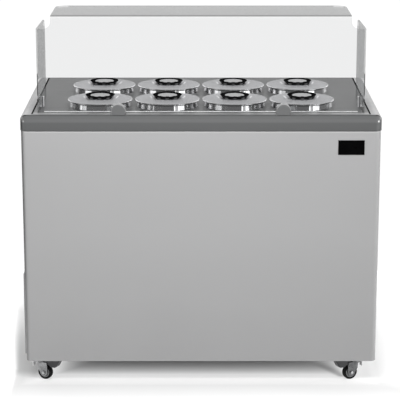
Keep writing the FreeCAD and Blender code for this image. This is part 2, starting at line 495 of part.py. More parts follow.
# --------------------------------------------------------------------- casters
plates, bolts = [], []
for name, yaw in CASTER_YAW.items():
    bx = -CASTER_XL if name.endswith("left") else CASTER_XR
    by = -CASTER_Y if name.startswith("front") else CASTER_Y
    at = V(bx, by, 0)
    # top plate, bearing cup and kingpin
    p = rounded(-30, 30, -36, 36, 6, 78.5, 81.0)
    for hxx, hyy in PLATE_HOLES:
        p = p.cut(cyl(3.3, 10, V(hxx, hyy, 75)))
        p = p.cut(Part.makeCone(6.4, 3.3, 2.4, V(hxx, hyy, 78.5)))
    p = p.fuse(revolve([(0, 69.0), (17, 69.0), ("arc", (19.4, 70.2), (20.5, 72.5)), (20.5, 79), (0, 79)]))
    p = p.fuse(cyl(5.0, 20, V(0, 0, 57))).fuse(cyl(8.5, 3.2, V(0, 0, 56.5)))
    p = one(p)
    p.translate(at)
    plates.append(p)
    for hxx, hyy in PLATE_HOLES:
        b = cyl(3.1, 12.5, V(hxx, hyy, 78.7)).fuse(Part.makeCone(6.0, 3.1, 2.3, V(hxx, hyy, 78.6)))
        nut = Part.Face(Part.makePolygon([V(hxx + 6 * math.cos(math.radians(60 * k)), hyy + 6 * math.sin(math.radians(60 * k)), 83.0) for k in range(7)])).extrude(V(0, 0, 5.5))
        b = one(b.fuse(nut))
        b.translate(at)
        bolts.append(b)

    # fork with its axle bolt
    f = revolve([(0, 60.2), (19.0, 60.2), (19.0, 66.5), ("arc", (18.3, 68.0), (16.5, 68.7)), (0, 68.7)])
    f = f.fuse(box(-10, 31, -13.5, 13.5, 60.2, 62.6))
    for v0 in (-13.5, 11.0):
        leg = polygon([V(-6, v0, 62.6), V(31, v0, 62.6), V(33.5, v0, 42), V(33, v0, 26), V(20, v0, 14), V(8, v0, 21), V(-4, v0, 40)], V(0, 2.5, 0))
        leg = leg.fuse(cyl(13, 2.5, V(TRAIL, v0, WHEEL_R), V(0, 1, 0)))
        f = f.fuse(leg)
    # turned-down stop at the heel of the fork
    f = f.fuse(box(-27, -9, -8, 8, 60.2, 62.6)).fuse(box(-27, -24.6, -8, 8, 42, 62.6))
    f = f.cut(cyl(5.0 + RUN, 30, V(0, 0, 50)))
    f = f.cut(cyl(4.0, 60, V(TRAIL, -30, WHEEL_R), V(0, 1, 0)))
    if name.startswith("front"):
        f = f.cut(cyl(2.5, 60, V(26, -30, 58), V(0, 1, 0)))
        f = f.cut(box(20.3, 40, -10.9, 10.9, 59, 64))      # slot that the pedal's arm passes
    f = one(f)
    ax = cyl(4.0, 27.0, V(TRAIL, -13.5, WHEEL_R), V(0, 1, 0))
    hexn = [V(TRAIL + 7 * math.cos(math.radians(60 * k)), 0, WHEEL_R + 7 * math.sin(math.radians(60 * k))) for k in range(7)]
    for v0, d in ((13.5, 4.0), (-13.5, -4.0)):
        hexa = Part.Face(Part.makePolygon([h + V(0, v0, 0) for h in hexn])).extrude(V(0, d, 0))
        ax = ax.fuse(hexa)
    ax = one(ax)
    for s in (f, ax):
        s.rotate(V(0, 0, 0), V(0, 0, 1), yaw)
        s.translate(at)
    save("caster_fork_" + name, solids(f, ax))

    # wheel: hub and tyre
    hub = revolve([(4.0 + RUN, -10.4), (9, -10.4), (9, -8), (14, -6.5), (18.5, -8), (18.5, 8), (14, 6.5), (9, 8), (9, 10.4), (4.0 + RUN, 10.4)])
    tyre = revolve([(18.5, -8.8), (21.5, -9.4), ("arc", (24.6, -8.3), (26.0, -5.5)), (26.0, 5.5), ("arc", (24.6, 8.3), (21.5, 9.4)), (18.5, 8.8)])
    wheel = []
    for s in (hub, tyre):
        s.rotate(V(0, 0, 0), V(1, 0, 0), 90)
        s.translate(V(TRAIL, 0, WHEEL_R))
        s.rotate(V(0, 0, 0), V(0, 0, 1), yaw)
        s.translate(at)
        wheel.append(s)
    save("caster_wheel_" + name, solids(*wheel))

    # foot brake on the two casters under the customer's side
    if name.startswith("front"):
        arm = polygon([V(22.5, -10.4, 67.5), V(30, -10.4, 77.2), V(46, -10.4, 77.6), V(46, -10.4, 66), V(37, -10.4, 53.5), V(25, -10.4, 55.0)], V(0, 20.8, 0))
        ped = polygon([V(38, -16, 66), V(38, -16, 77.6), V(84, -16, 77.6), V(70, -16, 52.5), V(65, -16, 50.5), V(50, -16, 50), V(44, -16, 55)], V(0, 32, 0))
        ped = ped.makeFillet(6.0, [e for e in ped.Edges if e.BoundBox.XMin > 69 and e.BoundBox.XMax > 83 and e.BoundBox.XMin < 71 and e.BoundBox.YMax - e.BoundBox.YMin < 1e-6])
        br = one(arm.fuse(ped).cut(cyl(2.5 + RUN, 60, V(26, -30, 58), V(0, 1, 0))))
        pin = cyl(2.5, 27.0, V(26, -13.5, 58), V(0, 1, 0))
        for s in (br, pin):
            s.rotate(V(0, 0, 0), V(0, 0, 1), yaw)
            s.translate(at)
        save("brake_pedal_" + name, br)
        # the pedal's pivot pin stays with the fork
        save("caster_fork_" + name, solids(f, ax, pin))
save("caster_plates", solids(*plates))
save("caster_bolts", solids(*bolts))
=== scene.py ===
import bpy, bmesh, math
from mathutils import Vector, Matrix


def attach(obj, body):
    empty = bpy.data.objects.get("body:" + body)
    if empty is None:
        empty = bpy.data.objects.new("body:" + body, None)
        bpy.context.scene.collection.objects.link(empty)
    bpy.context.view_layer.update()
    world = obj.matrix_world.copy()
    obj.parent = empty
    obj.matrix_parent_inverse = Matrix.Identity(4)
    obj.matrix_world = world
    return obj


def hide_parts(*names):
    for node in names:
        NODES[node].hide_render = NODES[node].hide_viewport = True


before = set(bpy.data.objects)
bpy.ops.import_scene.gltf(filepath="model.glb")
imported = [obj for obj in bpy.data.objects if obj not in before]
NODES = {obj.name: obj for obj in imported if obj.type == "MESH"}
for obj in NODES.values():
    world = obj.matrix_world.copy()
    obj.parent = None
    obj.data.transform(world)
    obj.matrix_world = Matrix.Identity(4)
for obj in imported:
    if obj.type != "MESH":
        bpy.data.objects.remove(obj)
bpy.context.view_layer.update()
scene = bpy.context.scene
scene.view_settings.view_transform = "Standard"
scene.view_settings.look = "None"

MM = 0.001
TOP = 944.0                       # counter surface, mm
LID_TOP = TOP + 23.4
WELL_X = (-342.75, -114.25, 114.25, 342.75)
WELL_Y = (-182.0, 84.0)
WELLS = [(x, y) for y in WELL_Y for x in WELL_X]


# ------------------------------------------------------------------ camera
def make_camera():
    cam = bpy.data.cameras.new("camera")
    cam.sensor_width = 36.0
    cam.lens = 152.19
    cam.shift_y = -0.05
    cam.clip_start, cam.clip_end = 0.1, 200.0
    ob = bpy.data.objects.new("camera", cam)
    ob.location = (-0.0033, -5.8402, 2.0689)
    ob.rotation_euler = (math.radians(90.0 - 13.777), 0.0, 0.0)
    scene.collection.objects.link(ob)
    scene.camera = ob


make_camera()


# ------------------------------------------------------- material helpers
class Mat:
    """Small helper around a node tree: one Principled shader plus textures in object space."""

    def __init__(self, name, **sockets):
        self.m = bpy.data.materials.new(name)
        self.m.use_nodes = True
        self.t = self.m.node_tree
        self.t.nodes.clear()
        self.out = self.n("ShaderNodeOutputMaterial")
        self.p = self.n("ShaderNodeBsdfPrincipled")
        self.t.links.new(self.p.outputs[0], self.out.inputs[0])
        for k, v in sockets.items():
            self.p.inputs[k.replace("_", " ")].default_value = v
        self.co = self.n("ShaderNodeTexCoord").outputs["Object"]

    def n(self, kind, **props):
        node = self.t.nodes.new(kind)
        for k, v in props.items():
            setattr(node, k, v)
        return node

    def link(self, a, b):
        self.t.links.new(a, b)

    def mapping(self, scale):
        mp = self.n("ShaderNodeMapping")
        mp.inputs["Scale"].default_value = scale
        self.link(self.co, mp.inputs["Vector"])
        return mp.outputs[0]

    def noise(self, scale, detail=2.0, rough=0.5, stretch=None, vector=None):
        nz = self.n("ShaderNodeTexNoise")
        nz.inputs["Scale"].default_value = scale
        nz.inputs["Detail"].default_value = detail
        nz.inputs["Roughness"].default_value = rough
        self.link(vector or (self.mapping(stretch) if stretch else self.co), nz.inputs["Vector"])
        return nz.outputs["Fac"]

    def ramp(self, fac, stops):
        r = self.n("ShaderNodeValToRGB")
        el = r.color_ramp.elements
        while len(el) < len(stops):
            el.new(0.5)
        for e, (pos, col) in zip(el, stops):
            e.position = pos
            e.color = (col[0], col[1], col[2], 1.0) if hasattr(col, "__len__") else (col, col, col, 1.0)
        self.link(fac, r.inputs[0])
        return r.outputs[0]

    def range(self, fac, a, b, c, d, smooth=False):
        mr = self.n("ShaderNodeMapRange")
        mr.interpolation_type = "SMOOTHSTEP" if smooth else "LINEAR"
        for i, v in enumerate((a, b, c, d)):
            mr.inputs[i + 1].default_value = v
        self.link(fac, mr.inputs[0])
        return mr.outputs[0]

    def math(self, op, a, b=None, c=None):
        m = self.n("ShaderNodeMath", operation=op)
        for i, v in enumerate((a, b, c)):
            if v is None:
                continue
            if hasattr(v, "is_linked") or hasattr(v, "node"):
                self.link(v, m.inputs[i])
            else:
                m.inputs[i].default_value = v
        return m.outputs[0]

    def mix(self, fac, a, b):
        mx = self.n("ShaderNodeMix", data_type="RGBA")
        self.link(fac, mx.inputs["Factor"])
        for s, v in ((mx.inputs[6], a), (mx.inputs[7], b)):
            if hasattr(v, "node"):
                self.link(v, s)
            else:
                s.default_value = (v[0], v[1], v[2], 1.0)
        return mx.outputs[2]

    def bump(self, height, strength, distance):
        b = self.n("ShaderNodeBump")
        b.inputs["Strength"].default_value = strength
        b.inputs["Distance"].default_value = distance
        self.link(height, b.inputs["Height"])
        self.link(b.outputs[0], self.p.inputs["Normal"])
        return b

    def xyz(self):
        s = self.n("ShaderNodeSeparateXYZ")
        self.link(self.co, s.inputs[0])
        return s.outputs


def tone(c, k):
    return tuple(min(1.0, x * k) for x in c)


def surface(name, base, vary=0.05, rough=0.4, rough_vary=0.08, cloud=9.0, grain=900.0, bump=0.08, depth=0.0002,
            stretch=None, **sockets):
    """Everyday finish: slow colour drift, patchy gloss and a fine grain in the surface."""
    m = Mat(name, **sockets)
    drift = m.noise(cloud, 3.0)
    m.link(m.ramp(drift, [(0.3, tone(base, 1 - vary)), (0.7, tone(base, 1 + vary))]), m.p.inputs["Base Color"])
    patch = m.noise(cloud * 3.1, 4.0, 0.6)
    m.link(m.range(patch, 0.3, 0.7, max(0.02, rough - rough_vary), rough + rough_vary), m.p.inputs["Roughness"])
    m.bump(m.noise(grain, 2.0, 0.5, stretch=stretch), bump, depth)
    return m


MATS = {}

# painted sheet: faint orange peel, very slight drift of tone
m = Mat("paint_light_grey", Specular_IOR_Level=0.25)
# painted shade: the coat darkens towards the bottom by height, plus a slow random drift of tone
shade_and_drift = m.math("ADD", m.range(m.xyz()[2], 0.08, 0.80, 0.0, 0.8), m.math("MULTIPLY", m.noise(3.0, 3.0), 0.2))
coat_shaded = m.ramp(shade_and_drift, [(0.1, (0.300, 0.300, 0.302)), (0.35, (0.334, 0.334, 0.336)), (0.6, (0.338, 0.338, 0.340)), (0.9, (0.320, 0.320, 0.322))])
coat_shaded = m.mix(m.range(m.xyz()[2], 0.860, 0.880, 0.0, 1.0, True), coat_shaded, (0.322, 0.322, 0.324))
# painted highlight: a pale line along the top of the sheet, just under the frame
coat_shaded = m.mix(m.range(m.xyz()[2], 0.8828, 0.8842, 0.0, 1.0, True), coat_shaded, (0.415, 0.415, 0.417))
# painted shade: the left front rounded corner is darkened
left_corner_shade = m.math("MULTIPLY", m.range(m.xyz()[0], -0.5985, -0.5870, 1.0, 0.0, True), m.range(m.xyz()[1], -0.322, -0.312, 1.0, 0.0, True))
m.link(m.mix(left_corner_shade, coat_shaded, (0.140, 0.140, 0.141)), m.p.inputs["Base Color"])
m.link(m.range(m.noise(9.0, 4.0, 0.6), 0.3, 0.7, 0.36, 0.44), m.p.inputs["Roughness"])
m.bump(m.noise(420.0, 2.0), 0.05, 0.0004)
MATS["paint"] = m.m

# moulded frame, satin grey, with light and shade painted into its grey; the side rails' top carries a painted
# highlight along it
m = Mat("frame_grey", Specular_IOR_Level=0.5)
drift = m.noise(7.0, 3.0)
# painted shade: the lip's grey darkens towards its foot, with a slow random drift
body = m.ramp(m.math("ADD", m.range(m.xyz()[2], 0.888, 0.944, 0.0, 0.7), m.math("MULTIPLY", drift, 0.3)),
              [(0.12, (0.083, 0.085, 0.086)), (0.85, (0.114, 0.116, 0.117))])
ox = m.math("ABSOLUTE", m.xyz()[0])
oz = m.xyz()[2]
mid_lip_highlight = m.math("MULTIPLY", m.range(oz, 0.9172, 0.9200, 0.0, 1.0, True), m.range(oz, 0.9265, 0.9340, 1.0, 0.0, True))    # painted highlight band half way up the lip
# painted shade: a darker band on the lower lip
low_lip_shade = m.math("MULTIPLY", m.range(oz, 0.8930, 0.9000, 0.0, 0.9, True), m.range(oz, 0.9150, 0.9172, 1.0, 0.0, True))
body = m.mix(mid_lip_highlight, body, (0.1170, 0.1190, 0.1200))
body = m.mix(low_lip_shade, body, (0.0900, 0.0920, 0.0930))
# painted highlight: the side rails' top is painted paler
rail_top_highlight = m.math("MULTIPLY", m.range(ox, 0.5642, 0.5652, 0.0, 1.0, True), m.range(oz, 0.9250, 0.9300, 0.0, 1.0, True))
rail_top_highlight = m.math("MULTIPLY", rail_top_highlight, m.range(m.xyz()[1], -0.3432, -0.3418, 0.0, 1.0, True))
lug = m.math("SQRT", m.math("ADD", m.math("POWER", m.math("SUBTRACT", ox, 0.2745), 2.0), m.math("POWER", m.math("SUBTRACT", oz, 0.9542), 2.0)))
lug_edge_highlight = m.math("MULTIPLY", m.range(lug, 0.0230, 0.0235, 0.0, 1.0, True), m.math("MULTIPLY", m.range(lug, 0.0250, 0.0256, 1.0, 0.0, True), m.range(oz, 0.9460, 0.9520, 0.0, 1.0, True)))
turn = m.math("MULTIPLY", m.range(oz, 0.9394, 0.9404, 0.0, 1.0, True), m.range(oz, 0.9430, 0.9437, 1.0, 0.0, True))   # rounded edge, painted shade along it
bow = m.math("SQRT", m.math("ADD", m.math("POWER", m.math("SUBTRACT", ox, 0.581), 2.0), m.math("POWER", m.math("SUBTRACT", oz, 0.923), 2.0)))
fore = m.range(m.xyz()[1], -0.3435, -0.3420, 1.0, 0.0, True)
# painted shade: a dark outline round the rounded front corners
corner_shade = m.math("MULTIPLY", m.math("MULTIPLY", m.range(bow, 0.0172, 0.0186, 0.0, 1.0, True), fore),
              m.math("MULTIPLY", m.range(ox, 0.5790, 0.5820, 0.0, 1.0, True), m.range(oz, 0.9230, 0.9260, 0.0, 1.0, True)))
# painted highlight: a bright spot on each rounded lip corner, weaker on the left
glint = m.math("SQRT", m.math("ADD", m.math("POWER", m.math("SUBTRACT", ox, 0.5905), 2.0), m.math("POWER", m.math("SUBTRACT", oz, 0.9215), 2.0)))
glint = m.math("MULTIPLY", m.range(glint, 0.0022, 0.0042, 1.0, 0.0, True), fore)
glint = m.math("MULTIPLY", glint, m.range(m.xyz()[0], -0.5, 0.5, 0.35, 1.0))
back = m.math("MULTIPLY", m.range(oz, 0.9450, 0.9460, 0.0, 1.0, True), m.range(m.xyz()[1], -0.3180, -0.3176, 0.0, 1.0, True))
# painted shade on the left end of the lip
left_end_shade = m.math("MULTIPLY", m.range(m.xyz()[0], -0.5990, -0.5900, 1.0, 0.0, True), m.range(oz, 0.9180, 0.9230, 1.0, 0.0, True))
left_end_shade = m.math("MULTIPLY", left_end_shade, m.range(m.xyz()[1], -0.320, -0.300, 1.0, 0.0, True))
rim = m.range(oz, 0.9434, 0.9439, 0.0, 1.0, True)
body = m.mix(turn, body, (0.050, 0.051, 0.052))
body = m.mix(rim, body, (0.112, 0.114, 0.115))
body = m.mix(left_end_shade, body, (0.052, 0.053, 0.054))
body = m.mix(lug_edge_highlight, body, (0.205, 0.207, 0.209))                       # painted highlight round the lugs' edges
body = m.mix(back, body, (0.80, 0.80, 0.803))                        # the lugs' backs are bare
# painted shade: the rail cap darkens towards its two outer ends
rail_shaded = m.ramp(m.range(m.xyz()[0], -0.602, 0.602, 0.0, 1.0), [(0.0, (0.25, 0.25, 0.253)), (0.020, (0.31, 0.31, 0.313)), (0.975, (0.33, 0.33, 0.333)), (0.986, (0.30, 0.30, 0.303)), (1.0, (0.20, 0.20, 0.202))])
joint_shade = m.math("MULTIPLY", m.range(ox, 0.5710, 0.5850, 0.95, 0.0, True), m.range(m.xyz()[1], -0.12, 0.00, 1.0, 0.0, True))
rail_shaded = m.mix(joint_shade, rail_shaded, (0.232, 0.232, 0.235))                      # painted shade beside the joint towards the front
body = m.mix(rail_top_highlight, body, rail_shaded)
body = m.mix(glint, body, (0.62, 0.62, 0.62))
m.link(m.mix(corner_shade, body, (0.030, 0.030, 0.031)), m.p.inputs["Base Color"])
m.link(m.range(m.noise(22.0, 4.0, 0.6), 0.3, 0.7, 0.34, 0.46), m.p.inputs["Roughness"])
m.bump(m.noise(1500.0, 2.0), 0.06, 0.0002)
MATS["frame"] = m.m

# counter plate: satin metal paint with a faint long grain
m = Mat("counter_satin", Metallic=0.35, Specular_IOR_Level=0.5)
drift = m.noise(5.0, 4.0)
plate = m.ramp(drift, [(0.3, (0.117, 0.1185, 0.1195)), (0.7, (0.130, 0.1315, 0.1325))])
plate = m.mix(m.range(m.xyz()[1], -0.3185, -0.2965, 1.0, 0.0), plate, (0.260, 0.2615, 0.2625))      # painted lighter along the front strip before the guard
bead_highlight = m.math("MULTIPLY", m.range(m.math("ABSOLUTE", m.math("ADD", m.xyz()[1], 0.293)), 0.0024, 0.0034, 1.0, 0.0, True), m.range(m.xyz()[2], 0.9441, 0.9444, 0.0, 1.0, True))
bead_highlight = m.math("MULTIPLY", bead_highlight, m.range(m.math("ABSOLUTE", m.xyz()[0]), 0.522, 0.526, 1.0, 0.0, True))
m.link(m.mix(bead_highlight, plate, (0.93, 0.935, 0.935)), m.p.inputs["Base Color"])          # painted highlight along the drip bead
m.link(m.range(m.noise(60.0, 4.0, 0.6, stretch=(0.15, 1.0, 1.0)), 0.3, 0.7, 0.295, 0.345), m.p.inputs["Roughness"])
m.bump(m.noise(1400.0, 2.0, stretch=(0.04, 1.0, 1.0)), 0.05, 0.0001)
MATS["counter"] = m.m


def spun(name, base, rough, rough_vary, lines, aniso, bump, metal=1.0, spec=0.5, kind=None):
    """Metal turned about its own upright axis: concentric lines round the piece's centre."""
    m = Mat(name, Metallic=metal, Anisotropic=aniso, Specular_IOR_Level=spec)
    x, y, z = m.xyz()
    r = m.math("SQRT", m.math("ADD", m.math("MULTIPLY", x, x), m.math("MULTIPLY", y, y)))
    comb = m.n("ShaderNodeCombineXYZ")
    m.link(r, comb.inputs[0])
    m.link(z, comb.inputs[1])
    ring = m.noise(lines, 3.0, 0.7, vector=comb.outputs[0])
    smudge = m.noise(24.0, 4.0, 0.6)
    colour = m.ramp(m.math("ADD", m.math("MULTIPLY", ring, 0.6), m.math("MULTIPLY", smudge, 0.4)),
                    [(0.3, tone(base, 0.95)), (0.7, tone(base, 1.04))])
    gloss = m.range(m.math("ADD", m.math("MULTIPLY", ring, 0.5), m.math("MULTIPLY", smudge, 0.5)), 0.3, 0.7,
                    max(0.02, rough - rough_vary), rough + rough_vary)
    if kind == "top":           # painted light round the knob's foot where its shade falls, with two painted highlight streaks beside the knob
        colour = m.mix(m.range(r, 0.040, 0.062, 0.75, 0.0, True), colour, tone(base, 1.5))
        side = m.math("SUBTRACT", m.math("ABSOLUTE", x), m.math("ADD", m.math("MULTIPLY", y, 0.16), 0.0515))
        streak_highlight = m.math("MULTIPLY", m.range(m.math("ABSOLUTE", side), 0.0020, 0.0036, 1.0, 0.0, True),
                      m.math("MULTIPLY", m.range(y, 0.000, 0.012, 0.0, 1.0, True), m.range(y, 0.040, 0.056, 1.0, 0.0, True)))
        colour = m.mix(streak_highlight, colour, tone(base, 1.8))
    if kind == "skirt":         # polished to a mirror front and back, left satin at the two sides
        off = m.math("DIVIDE", m.math("ABSOLUTE", x), m.math("MAXIMUM", r, 0.001))
        gloss = m.math("ADD", gloss, m.range(off, 0.60, 0.72, 0.0, 0.17, True))
    m.link(colour, m.p.inputs["Base Color"])
    m.link(gloss, m.p.inputs["Roughness"])
    tg = m.n("ShaderNodeTangent", direction_type="RADIAL", axis="Z")
    m.link(tg.outputs[0], m.p.inputs["Tangent"])
    m.bump(ring, bump, 0.00003)
    return m.m


MATS["lid_top"] = spun("lid_satin_steel", (0.345, 0.345, 0.352), 0.50, 0.05, 2600.0, 0.0, 0.06, 0.1, 0.15, "top")
MATS["lid_polish"] = spun("lid_polished_steel", (0.86, 0.86, 0.87), 0.055, 0.025, 1800.0, 0.0, 0.03, kind="skirt")
# painted shade: a dark steel for the rim's underside and the neck, where shade falls under the rim
MATS["lid_neck"] = spun("lid_neck_steel", (0.10, 0.10, 0.102), 0.30, 0.05, 1800.0, 0.0, 0.03)
MATS["tub"] = spun("tub_steel", (0.74, 0.74, 0.75), 0.24, 0.06, 1500.0, 0.3, 0.10)
MATS["disc"] = spun("knob_disc_steel", (0.40, 0.40, 0.405), 0.3, 0.06, 2500.0, 0.0, 0.08, 0.35)

MATS["gloss_black"] = surface("gloss_black_plastic", (0.004, 0.004, 0.0042), 0.15, 0.30, 0.05, 30.0, 700.0, 0.03, 0.0002,
                              Specular_IOR_Level=0.06).m
m = Mat("grip_black_plastic", Specular_IOR_Level=0.06)     # ten painted reflections: grey ovals round the flare, as on shallow finger hollows
x, y, z = m.xyz()
hollow_reflection = m.math("COSINE", m.math("MULTIPLY", m.math("ARCTAN2", x, y), 10.0))
hollow_reflection = m.math("MULTIPLY", m.range(hollow_reflection, -0.1, 0.7, 0.0, 1.0, True),
                m.math("MULTIPLY", m.range(z, 0.9703, 0.9715, 0.0, 1.0, True), m.range(z, 0.9765, 0.9785, 1.0, 0.0, True)))
m.link(m.mix(hollow_reflection, m.ramp(m.noise(30.0, 3.0), [(0.3, (0.0035, 0.0035, 0.0037)), (0.7, (0.0046, 0.0046, 0.0048))]), (0.115, 0.115, 0.117)), m.p.inputs["Base Color"])
m.link(m.range(m.noise(90.0, 4.0, 0.6), 0.3, 0.7, 0.25, 0.35), m.p.inputs["Roughness"])
m.bump(m.noise(700.0, 2.0), 0.03, 0.0002)
MATS["grip_black"] = m.m
MATS["matte_black"] = surface("matte_black_plastic", (0.0035, 0.0035, 0.0037), 0.2, 0.7, 0.08, 30.0, 900.0, 0.05, 0.0002, Specular_IOR_Level=0.0).m
MATS["black"] = surface("satin_black_plastic", (0.020, 0.020, 0.021), 0.2, 0.42, 0.08, 25.0, 2200.0, 0.15, 0.0002).m
MATS["badge"] = surface("badge_black", (0.0015, 0.0015, 0.0016), 0.2, 0.30, 0.05, 25.0, 900.0, 0.03, 0.0002, Specular_IOR_Level=0.04).m
MATS["seal"] = surface("black_sealant", (0.006, 0.006, 0.006), 0.2, 0.8, 0.08, 40.0, 900.0, 0.2, 0.0003, Specular_IOR_Level=0.04).m
MATS["rubber"] = surface("tyre_rubber", (0.0055, 0.0055, 0.0058), 0.25, 0.6, 0.12, 40.0, 1800.0, 0.2, 0.0003, Specular_IOR_Level=0.1).m
MATS["hub"] = surface("hub_grey_plastic", (0.22, 0.22, 0.225), 0.08, 0.42, 0.08, 30.0, 1600.0, 0.1, 0.0002).m
MATS["zinc"] = surface("zinc_plated_steel", (0.46, 0.465, 0.47), 0.12, 0.3, 0.1, 45.0, 700.0, 0.12, 0.0003, Metallic=0.9).m


def pressed(name, base):
    """Pressed fork steel with an upright grain; the heel stop behind the swivel is painted light, near white and not
    metallic, though the fork shades it.
    """
    m = Mat(name)
    x = m.xyz()[0]
    heel = m.math("MAXIMUM", m.range(x, -0.5775, -0.5765, 1.0, 0.0), m.range(x, 0.5540, 0.5550, 0.0, 1.0))
    steel = m.ramp(m.noise(60.0, 3.0), [(0.3, tone(base, 0.75)), (0.7, tone(base, 1.25))])
    m.link(m.mix(heel, steel, (0.90, 0.90, 0.905)), m.p.inputs["Base Color"])
    m.link(m.math("SUBTRACT", 0.8, m.math("MULTIPLY", heel, 0.8)), m.p.inputs["Metallic"])
    m.link(m.range(m.noise(180.0, 4.0, 0.6), 0.3, 0.7, 0.24, 0.38), m.p.inputs["Roughness"])
    m.bump(m.noise(260.0, 2.0, 0.5, stretch=(1.0, 1.0, 0.08)), 0.25, 0.0006)
    return m.m


MATS["fork"] = pressed("pressed_steel", (0.26, 0.262, 0.266))
# painted shade: the right-hand forks take a darker copy of the same steel
MATS["fork_shaded"] = pressed("pressed_steel_shaded", (0.155, 0.157, 0.160))
MATS["bolt"] = surface("bright_bolt_steel", (0.72, 0.72, 0.73), 0.08, 0.2, 0.06, 60.0, 900.0, 0.06, 0.0002, Metallic=1.0).m
# painted reflections: light and dark upright stripes across the posts' width
m = Mat("post_painted_reflections", Metallic=0.35)
px = m.math("ADD", m.math("ABSOLUTE", m.xyz()[0]), m.math("MULTIPLY", m.noise(90.0, 2.0), 0.0008))
m.link(m.ramp(m.range(px, 0.5315, 0.5505, 0.0, 1.0), [(0.22, (0.72, 0.72, 0.73)), (0.27, (0.08, 0.08, 0.082)), (0.40, (0.08, 0.08, 0.082)),
                                                      (0.45, (0.74, 0.74, 0.75)), (0.76, (0.70, 0.70, 0.71)), (0.82, (0.05, 0.05, 0.052))]), m.p.inputs["Base Color"])
m.link(m.range(m.noise(120.0, 4.0, 0.6), 0.3, 0.7, 0.29, 0.39), m.p.inputs["Roughness"])
m.bump(m.noise(700.0, 2.0), 0.03, 0.0001)
MATS["post_painted_stripes"] = m.m
MATS["tank"] = surface("tank_aluminium", (0.66, 0.67, 0.68), 0.08, 0.32, 0.08, 12.0, 500.0, 0.08, 0.0003, Metallic=0.9).m
MATS["copper"] = surface("copper_tube", (0.62, 0.30, 0.17), 0.16, 0.3, 0.1, 50.0, 700.0, 0.08, 0.0002, Metallic=1.0).m
MATS["foam"] = surface("polyurethane_foam", (0.70, 0.60, 0.36), 0.1, 0.9, 0.06, 30.0, 320.0, 0.6, 0.002).m
MATS["collar"] = surface("collar_dark_plastic", (0.06, 0.06, 0.062), 0.12, 0.5, 0.08, 30.0, 1600.0, 0.12, 0.0002).m
MATS["grille"] = surface("grille_grey_plastic", (0.30, 0.30, 0.303), 0.06, 0.42, 0.06, 20.0, 1500.0, 0.1, 0.0002).m
MATS["machine"] = surface("machine_black_paint", (0.022, 0.022, 0.023), 0.2, 0.36, 0.08, 20.0, 420.0, 0.1, 0.0004).m
MATS["pedal"] = surface("pedal_dark_steel", (0.050, 0.050, 0.052), 0.15, 0.42, 0.08, 30.0, 900.0, 0.1, 0.0002, Metallic=0.5).m


